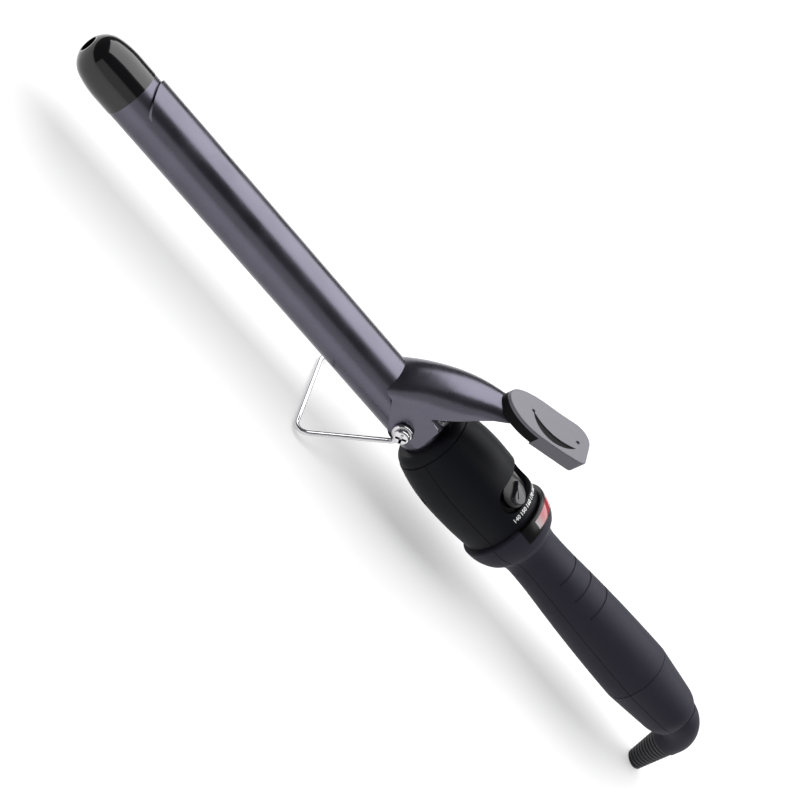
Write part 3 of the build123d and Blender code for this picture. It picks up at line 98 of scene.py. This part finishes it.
def add_noise(tree, place, scale, stretch=(1, 1, 1), detail=3.0):
    """Noise over the object, drawn out along the axes by stretch."""
    mapping = tree.nodes.new("ShaderNodeMapping")
    mapping.inputs["Scale"].default_value = stretch
    noise = tree.nodes.new("ShaderNodeTexNoise")
    noise.inputs["Scale"].default_value = scale
    noise.inputs["Detail"].default_value = detail
    tree.links.new(place, mapping.inputs["Vector"])
    tree.links.new(mapping.outputs["Vector"], noise.inputs["Vector"])
    return noise.outputs["Fac"]


def add_range(tree, value, low, high):
    """The noise value, spread between low and high."""
    node = tree.nodes.new("ShaderNodeMapRange")
    node.inputs["From Min"].default_value = noise_low
    node.inputs["From Max"].default_value = noise_high
    node.inputs["To Min"].default_value = low
    node.inputs["To Max"].default_value = high
    tree.links.new(value, node.inputs["Value"])
    return node.outputs["Result"]


def add_ramp(tree, value, start, first, end, last):
    """A colour that runs from first to last while the value runs from start to end."""
    ramp = tree.nodes.new("ShaderNodeValToRGB")
    ramp.color_ramp.elements[0].position = start
    ramp.color_ramp.elements[0].color = first
    ramp.color_ramp.elements[1].position = end
    ramp.color_ramp.elements[1].color = last
    tree.links.new(value, ramp.inputs["Fac"])
    return ramp.outputs["Color"]


def add_tint(tree, value, colour, spread):
    """The colour, made a little darker and lighter by the noise value."""
    darker = [channel * (1 - spread) for channel in colour] + [1]
    lighter = [channel * (1 + spread) for channel in colour] + [1]
    return add_ramp(tree, value, noise_low, darker, noise_high, lighter)


def add_bump(tree, value, shader, depth):
    """Relief of this depth from the value."""
    bump = tree.nodes.new("ShaderNodeBump")
    bump.inputs["Strength"].default_value = 1.0
    bump.inputs["Distance"].default_value = depth
    tree.links.new(value, bump.inputs["Height"])
    tree.links.new(bump.outputs["Normal"], shader.inputs["Normal"])


def find_socket(sockets, identifier):
    """The socket with this identifier, where several share one name."""
    return next(socket for socket in sockets if socket.identifier == identifier)


def add_painted_shade(tree, colour, reach):
    """The colour with painted shade, almost black in recesses narrower than about this reach."""
    openness = tree.nodes.new("ShaderNodeAmbientOcclusion")
    openness.only_local = True
    openness.inputs["Distance"].default_value = reach
    share = tree.nodes.new("ShaderNodeMapRange")
    share.inputs["From Min"].default_value = painted_shade_closed
    share.inputs["From Max"].default_value = painted_shade_open
    tree.links.new(openness.outputs["AO"], share.inputs["Value"])
    mix = tree.nodes.new("ShaderNodeMix")
    mix.data_type = "RGBA"
    find_socket(mix.inputs, "A_Color").default_value = painted_shade_colour
    tree.links.new(share.outputs["Result"], find_socket(mix.inputs, "Factor_Float"))
    tree.links.new(colour, find_socket(mix.inputs, "B_Color"))
    return find_socket(mix.outputs, "Result_Color")


def surface(name, colour, roughness, metallic=0.0, spread=0.08, rough_spread=0.05, wear_scale=60.0,
            grain_scale=3000.0, grain_depth=0.004 * MM, stretch=(1, 1, 1), coat=0.0, coat_roughness=0.1,
            sheen=0.0, specular=0.5, painted_shade_reach=0.0):
    """A finished surface: mottled colour and gloss at a broad scale, a fine grain in its relief, and
    painted shade in narrow recesses where a shade reach is given.
    """
    material, tree, shader, place = new_material(name)
    wear = add_noise(tree, place, wear_scale)
    grain = add_noise(tree, place, grain_scale, stretch, detail=2.0)
    tint = add_tint(tree, wear, colour, spread)
    # Painted shade: the colour is darkened in narrow recesses
    if painted_shade_reach:
        tint = add_painted_shade(tree, tint, painted_shade_reach)
    tree.links.new(tint, shader.inputs["Base Color"])
    gloss = add_range(tree, wear, roughness - rough_spread, roughness + rough_spread)
    tree.links.new(gloss, shader.inputs["Roughness"])
    add_bump(tree, grain, shader, grain_depth)
    shader.inputs["Metallic"].default_value = metallic
    shader.inputs["Specular IOR Level"].default_value = specular
    shader.inputs["Coat Weight"].default_value = coat
    shader.inputs["Coat Roughness"].default_value = coat_roughness
    shader.inputs["Sheen Weight"].default_value = sheen
    return material


def lens_surface(name):
    """Red window, with a painted highlight as pale colour towards both ends."""
    material, tree, shader, place = new_material(name)
    split = tree.nodes.new("ShaderNodeSeparateXYZ")
    tree.links.new(place, split.inputs["Vector"])
    distance = tree.nodes.new("ShaderNodeMath")
    distance.operation = "ABSOLUTE"
    tree.links.new(split.outputs["Y"], distance.inputs[0])
    share = tree.nodes.new("ShaderNodeMapRange")
    share.inputs["From Max"].default_value = lens_half_width
    tree.links.new(distance.outputs["Value"], share.inputs["Value"])
    # Painted highlight: the lens turns from red to pale towards both ends
    tint = add_ramp(tree, share.outputs["Result"], lens_red_end, lens_red, lens_highlight_full, lens_painted_highlight)
    tree.links.new(tint, shader.inputs["Base Color"])
    wear = add_noise(tree, place, lens_wear_scale)
    tree.links.new(add_range(tree, wear, *lens_roughness), shader.inputs["Roughness"])
    shader.inputs["Coat Weight"].default_value = lens_coat
    return material


# Looks by material slot: brushed grain is drawn out along the tool, and polished pieces have a finer grain
brushed = (0.06, 1, 1)
polished = 0.001 * MM
looks = {
    "barrel_metal": surface("satin_barrel", (0.118, 0.114, 0.144), 0.27, metallic=1.0, stretch=brushed),
    "clamp_metal": surface("satin_clamp", (0.122, 0.118, 0.148), 0.27, metallic=1.0, stretch=brushed),
    "tip_black": surface("gloss_tip", (0.002, 0.002, 0.003), 0.13, rough_spread=0.03, coat=0.5,
                         coat_roughness=0.08, specular=0.35, grain_depth=polished),
    "housing_black": surface("housing_plastic", (0.0055, 0.006, 0.0095), 0.5, specular=0.12),
    "grip_soft": surface("soft_touch_grip", (0.02, 0.0185, 0.032), 0.6, sheen=0.05, specular=0.18,
                         grain_scale=5000.0),
    "pad_grey": surface("pad_plastic", (0.14, 0.137, 0.163), 0.38),
    "base_black": surface("base_plastic", (0.003, 0.003, 0.004), 0.5, specular=0.08),
    # Chrome gets painted shade in its narrow recesses, such as the screws' cross recesses
    "chrome": surface("polished_chrome", (0.7, 0.69, 0.71), 0.12, metallic=1.0, spread=0.04,
                      wear_scale=200.0, grain_depth=polished, painted_shade_reach=1.2 * MM),
    "steel": surface("plain_steel", (0.55, 0.55, 0.57), 0.3, metallic=1.0),
    "window_black": surface("window_frame", (0.003, 0.003, 0.004), 0.3, rough_spread=0.03, specular=0.3,
                            grain_depth=polished),
    "lens_red": lens_surface("window_lens"),
    "slider_black": surface("slider_plastic", (0.005, 0.005, 0.006), 0.3, rough_spread=0.04, specular=0.4),
    "knob_black": surface("knob_plastic", (0.03, 0.029, 0.038), 0.25, rough_spread=0.04, coat=0.4),
    "lamp_red": surface("lamp_lens", (0.6, 0.05, 0.05), 0.2, coat=0.5),
    "relief_rubber": surface("relief_rubber", (0.035, 0.035, 0.04), 0.6, grain_scale=2500.0),
    "contact_brass": surface("contact_brass", (0.72, 0.52, 0.22), 0.3, metallic=1.0),
    "board_green": surface("board_laminate", (0.03, 0.16, 0.07), 0.4),
    "board_part": surface("board_part", (0.03, 0.03, 0.035), 0.4),
    "heater_white": surface("fired_ceramic", (0.75, 0.72, 0.66), 0.45),
    "spreader_metal": surface("spreader_aluminium", (0.6, 0.6, 0.62), 0.4, metallic=1.0, stretch=brushed),
    "block_metal": surface("block_aluminium", (0.5, 0.5, 0.52), 0.4, metallic=1.0),
    "inner_plastic": surface("inner_plastic", (0.06, 0.06, 0.065), 0.5),
    "wire_insulation": surface("wire_insulation", (0.5, 0.04, 0.04), 0.5),
}
ink = surface("scale_ink", (0.85, 0.85, 0.85), 0.5)

for part in frame["record"]["subparts"]:
    mesh = nodes[part["node"]].data
    mesh.materials.clear()
    mesh.materials.append(looks[part["material_slot"]])

# Temperature scale: plain numbers printed round the housing beside the slot, at degrees from the top
scale_numbers = ("140", "150", "160", "170", "180", "190")
scale_first_angle = 42.5
scale_step_angle = 13.2
scale_setback = 3.4 * MM
digit_height = 1.75 * MM
digit_weight = 0.07 * MM
digit_share = 0.7
digit_smoothness = 3
print_height = 0.03 * MM
scan_start = 100 * MM


def housing_point(x, angle):
    """Point of the housing's skin at this station and angle from the top, and the way outwards there."""
    outwards = Vector((0, -math.sin(angle), math.cos(angle)))
    start = Vector((x, 0, axis_height)) + outwards * scan_start
    hit, place, _, _ = nodes["housing_upper"].ray_cast(start, -outwards)
    if not hit:
        raise ValueError("the scale misses the housing")
    return place, outwards


def wrapped_number(text, angle):
    """Vertices and faces of one number, laid on the housing round this angle."""
    curve = bpy.data.curves.new("number", "FONT")
    curve.body = text
    curve.size = digit_height / digit_share
    curve.align_x = "CENTER"
    curve.align_y = "CENTER"
    curve.offset = digit_weight
    curve.resolution_u = digit_smoothness
    holder = bpy.data.objects.new("number", curve)
    scene.collection.objects.link(holder)
    bpy.context.view_layer.update()
    evaluated = holder.evaluated_get(bpy.context.evaluated_depsgraph_get())
    flat = bpy.data.meshes.new_from_object(evaluated)
    x_middle = housing_rear - scale_setback
    radius = (housing_point(x_middle, angle)[0] - Vector((x_middle, 0, axis_height))).length
    points = []
    for vertex in flat.vertices:
        place, outwards = housing_point(x_middle - vertex.co.y, angle - vertex.co.x / radius)
        points.append(place + outwards * print_height)
    faces = [tuple(polygon.vertices) for polygon in flat.polygons]
    bpy.data.objects.remove(holder)
    bpy.data.curves.remove(curve)
    bpy.data.meshes.remove(flat)
    return points, faces


scale_points = []
scale_faces = []
for index, text in enumerate(scale_numbers):
    points, faces = wrapped_number(text, math.radians(scale_first_angle - scale_step_angle * index))
    first = len(scale_points)
    scale_points += points
    scale_faces += [tuple(first + corner for corner in face) for face in faces]
scale_mesh = bpy.data.meshes.new("temperature_scale")
scale_mesh.from_pydata(scale_points, [], scale_faces)
scale_mesh.materials.append(ink)
scale_piece = bpy.data.objects.new("temperature_scale", scale_mesh)
scene.collection.objects.link(scale_piece)
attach(scale_piece, "root")

# Camera
azimuth = math.radians(camera_azimuth)
elevation = math.radians(camera_elevation)
roll = math.radians(camera_roll)
level_away = Vector((-math.sin(azimuth), -math.cos(azimuth), 0))
towards_camera = level_away * math.cos(elevation) + Vector((0, 0, math.sin(elevation)))
level_right = Vector((math.cos(azimuth), -math.sin(azimuth), 0))
level_up = towards_camera.cross(level_right)
camera_up = level_up * math.cos(roll) - level_right * math.sin(roll)
camera_right = camera_up.cross(towards_camera)
camera_data = bpy.data.cameras.new("camera")
camera_data.sensor_fit = "HORIZONTAL"
camera_data.sensor_width = camera_sensor
camera_data.lens = camera_lens
camera_data.clip_start = camera_clip
camera = bpy.data.objects.new("camera", camera_data)
scene.collection.objects.link(camera)
turned = Matrix((camera_right, camera_up, towards_camera)).transposed().to_4x4()
camera.matrix_world = Matrix.Translation(camera_target + towards_camera * camera_distance) @ turned
scene.camera = camera

# Floor: pale, and white to the camera and in reflections, with the object's shadow kept
floor_size = 8.0
floor_glow = 0.43
floor_grey = 0.6
floor_roughness = 0.9
floor_mesh = bpy.data.meshes.new("floor")
half = floor_size / 2
floor_corners = [(-half, -half, 0), (half, -half, 0), (half, half, 0), (-half, half, 0)]
floor_mesh.from_pydata(floor_corners, [], [(0, 1, 2, 3)])
floor = bpy.data.objects.new("floor", floor_mesh)
scene.collection.objects.link(floor)
floor_material = bpy.data.materials.new("pale_floor")
floor_material.use_nodes = True
floor_tree = floor_material.node_tree
floor_shader = floor_tree.nodes["Principled BSDF"]
floor_shader.inputs["Base Color"].default_value = (floor_grey, floor_grey, floor_grey, 1)
floor_shader.inputs["Roughness"].default_value = floor_roughness
floor_shader.inputs["Specular IOR Level"].default_value = 0.0
glow = floor_tree.nodes.new("ShaderNodeEmission")
light_path = floor_tree.nodes.new("ShaderNodeLightPath")
seen = floor_tree.nodes.new("ShaderNodeMath")
seen.operation = "MAXIMUM"
seen_all = floor_tree.nodes.new("ShaderNodeMath")
seen_all.operation = "MAXIMUM"
level = floor_tree.nodes.new("ShaderNodeMath")
level.operation = "MULTIPLY"
level.inputs[1].default_value = floor_glow
both = floor_tree.nodes.new("ShaderNodeAddShader")
floor_tree.links.new(light_path.outputs["Is Camera Ray"], seen.inputs[0])
floor_tree.links.new(light_path.outputs["Is Glossy Ray"], seen.inputs[1])
floor_tree.links.new(seen.outputs["Value"], seen_all.inputs[0])
floor_tree.links.new(light_path.outputs["Is Transmission Ray"], seen_all.inputs[1])
floor_tree.links.new(seen_all.outputs["Value"], level.inputs[0])
floor_tree.links.new(level.outputs["Value"], glow.inputs["Strength"])
floor_tree.links.new(floor_shader.outputs["BSDF"], both.inputs[0])
floor_tree.links.new(glow.outputs["Emission"], both.inputs[1])
floor_tree.links.new(both.outputs["Shader"], floor_tree.nodes["Material Output"].inputs["Surface"])
floor_mesh.materials.append(floor_material)

# Light: a dim even surround, one wide soft box above and behind, and a weak fill, placed in metres
surround_level = 0.1
box_distance = 1.2
box_length = 2.6
box_along = 0.3
world = bpy.data.worlds.new("surround")
world.use_nodes = True
surround = world.node_tree.nodes["Background"]
surround.inputs["Color"].default_value = (1, 1, 1, 1)
surround.inputs["Strength"].default_value = surround_level
scene.world = world


def soft_box(name, angle, width, strength):
    """Area lamp that faces the tool from this angle, counted from the top towards the camera's side."""
    turn = math.radians(angle)
    outwards = Vector((0, -math.sin(turn), math.cos(turn)))
    data = bpy.data.lights.new(name, "AREA")
    data.shape = "RECTANGLE"
    data.size = box_length
    data.size_y = width
    data.energy = strength
    lamp = bpy.data.objects.new(name, data)
    scene.collection.objects.link(lamp)
    lengthwise = Vector((1, 0, 0))
    turned = Matrix((lengthwise, outwards.cross(lengthwise), outwards)).transposed().to_4x4()
    place = Vector((box_along, 0, axis_height)) + outwards * box_distance
    lamp.matrix_world = Matrix.Translation(place) @ turned


soft_box("soft_box", angle=-27.0, width=1.75, strength=41.0)
soft_box("fill_box", angle=78.0, width=1.1, strength=5.0)
